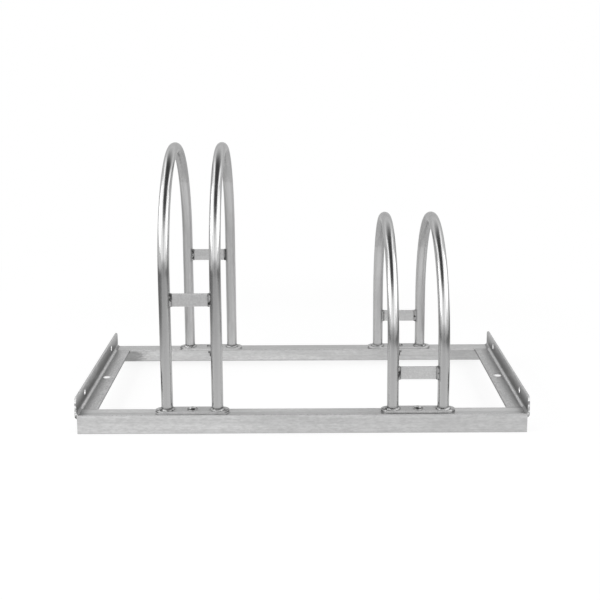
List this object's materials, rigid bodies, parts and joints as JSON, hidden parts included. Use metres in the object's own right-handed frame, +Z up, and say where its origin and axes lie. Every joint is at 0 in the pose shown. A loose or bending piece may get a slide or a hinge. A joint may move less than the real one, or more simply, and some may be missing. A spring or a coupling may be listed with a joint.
{
  "type": "floor bike rack",
  "caption": "Low galvanised angle-steel floor rack; bicycle front wheels stand between pairs of bent tube hoops, one pair tall and one pair low.",
  "frame": {"origin": "on the floor, under the middle of the rack's bounding box", "axes": "+X along the rails, from the tall pair of hoops to the low pair; +Y from the front rail to the rear rail; +Z up"},
  "size_m": [0.7, 0.39, 0.431],
  "materials": {
    "angle_steel": "hot-dip galvanised rolled angle, satin, faint spangle and run marks",
    "hoop_tube": "galvanised tube, glossy on the outer bends and matt on the straight legs",
    "flat_bar": "hot-dip galvanised flat bar, satin",
    "fastener": "zinc plated, semi-gloss",
    "weld_metal": "galvanised weld bead, uneven, semi-gloss"
  },
  "bodies": {
    "root": {"carriage_bolt_high_front": "fastener", "carriage_bolt_high_rear": "fastener", "carriage_bolt_low_front": "fastener", "carriage_bolt_low_rear": "fastener", "crossbar_high_front": "flat_bar", "crossbar_high_rear": "flat_bar", "crossbar_low_front": "flat_bar", "crossbar_low_rear": "flat_bar", "crossbar_welds": "weld_metal", "foot_plate_high_front": "flat_bar", "foot_plate_high_rear": "flat_bar", "foot_plate_low_front": "flat_bar", "foot_plate_low_rear": "flat_bar", "foot_welds": "weld_metal", "frame_welds": "weld_metal", "front_rail": "angle_steel", "hoop_high_left": "hoop_tube", "hoop_high_right": "hoop_tube", "hoop_low_left": "hoop_tube", "hoop_low_right": "hoop_tube", "left_end_angle": "angle_steel", "nut_high_front": "fastener", "nut_high_rear": "fastener", "nut_low_front": "fastener", "nut_low_rear": "fastener", "rear_rail": "angle_steel", "right_end_angle": "angle_steel", "washer_high_front": "fastener", "washer_high_rear": "fastener", "washer_low_front": "fastener", "washer_low_rear": "fastener"}
  },
  "joints": []
}
